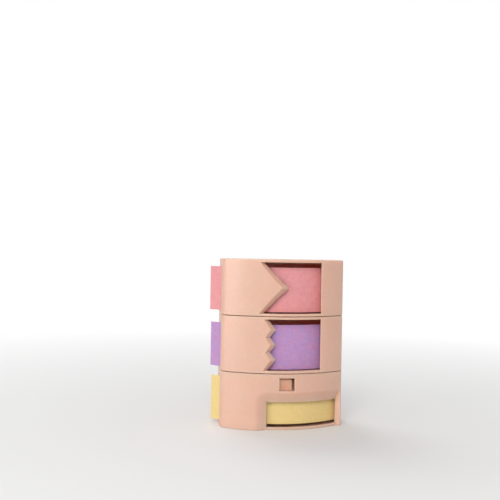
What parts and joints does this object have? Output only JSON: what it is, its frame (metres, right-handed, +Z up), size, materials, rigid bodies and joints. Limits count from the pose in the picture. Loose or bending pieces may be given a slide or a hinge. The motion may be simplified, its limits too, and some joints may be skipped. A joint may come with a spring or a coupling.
{
  "type": "tape cutter",
  "caption": "Pocket cutter for paper tape: a bowed body with hinged covers stacked one above the other, for pointed ends, zigzag ends and narrow slit tape.",
  "frame": {"origin": "on the base, at the middle of the body's width and depth", "axes": "+X to the right as seen from the bowed front, +Y to the flat back, +Z up along the stack of covers"},
  "size_m": [0.0454, 0.02, 0.057],
  "materials": {
    "peach_plastic": "satin moulded ABS",
    "steel": "bright",
    "silicone": "matt",
    "pink_tape": "matt washi paper",
    "lilac_tape": "matt washi paper",
    "yellow_tape": "matt washi paper"
  },
  "bodies": {
    "body": {"rear_shell": "peach_plastic", "hinge_pin": "steel", "bed_screws": "steel", "ribbon_bed": "peach_plastic", "zigzag_bed": "peach_plastic", "slitter_bed": "peach_plastic", "slitting_blade": "steel", "blade_clamp": "peach_plastic", "clamp_screw": "steel"},
    "ribbon_cover": {"ribbon_cover": "peach_plastic", "ribbon_blade": "steel", "ribbon_blade_rivets": "steel", "ribbon_grip_pad": "silicone"},
    "zigzag_cover": {"zigzag_cover": "peach_plastic", "zigzag_blade": "steel", "zigzag_blade_rivets": "steel", "zigzag_grip_pad": "silicone"},
    "slitter_cover": {"slitter_cover": "peach_plastic", "slitter_grip_pad": "silicone", "button_spring": "steel", "spring_rivet": "steel"},
    "hold_button": {"hold_button": "peach_plastic"},
    "ribbon_tape": {"ribbon_tape": "pink_tape"},
    "zigzag_tape": {"zigzag_tape": "lilac_tape"},
    "slit_tape": {"slit_tape": "yellow_tape"}
  },
  "joints": [
    {"name": "ribbon_cover_hinge", "type": "hinge", "parent": "body", "child": "ribbon_cover", "pos_m": [0.0185, 0.0075, 0.0475], "axis": [0, 0, 1], "range_deg": [0, 110]},
    {"name": "zigzag_cover_hinge", "type": "hinge", "parent": "body", "child": "zigzag_cover", "pos_m": [0.0185, 0.0075, 0.0285], "axis": [0, 0, 1], "range_deg": [0, 110]},
    {"name": "slitter_cover_hinge", "type": "hinge", "parent": "body", "child": "slitter_cover", "pos_m": [0.0185, 0.0075, 0.0095], "axis": [0, 0, 1], "range_deg": [0, 110]},
    {"name": "hold_button_press", "type": "slide", "parent": "slitter_cover", "child": "hold_button", "axis": [0, 1, 0], "range_m": [0, 0.0006], "stiffness_N_per_m": 600, "springref_m": -0.0002, "deforming": ["button_spring"]},
    {"name": "ribbon_tape_feed", "type": "hinge", "parent": "body", "child": "ribbon_tape", "pos_m": [0, 0.024, 0.0475], "axis": [0, 0, 1], "range_deg": [-12, 4]},
    {"name": "zigzag_tape_feed", "type": "hinge", "parent": "body", "child": "zigzag_tape", "pos_m": [0, 0.024, 0.0285], "axis": [0, 0, 1], "range_deg": [-12, 4]},
    {"name": "slit_tape_feed", "type": "hinge", "parent": "body", "child": "slit_tape", "pos_m": [0, 0.024, 0.0095], "axis": [0, 0, 1], "range_deg": [-12, 0]}
  ]
}
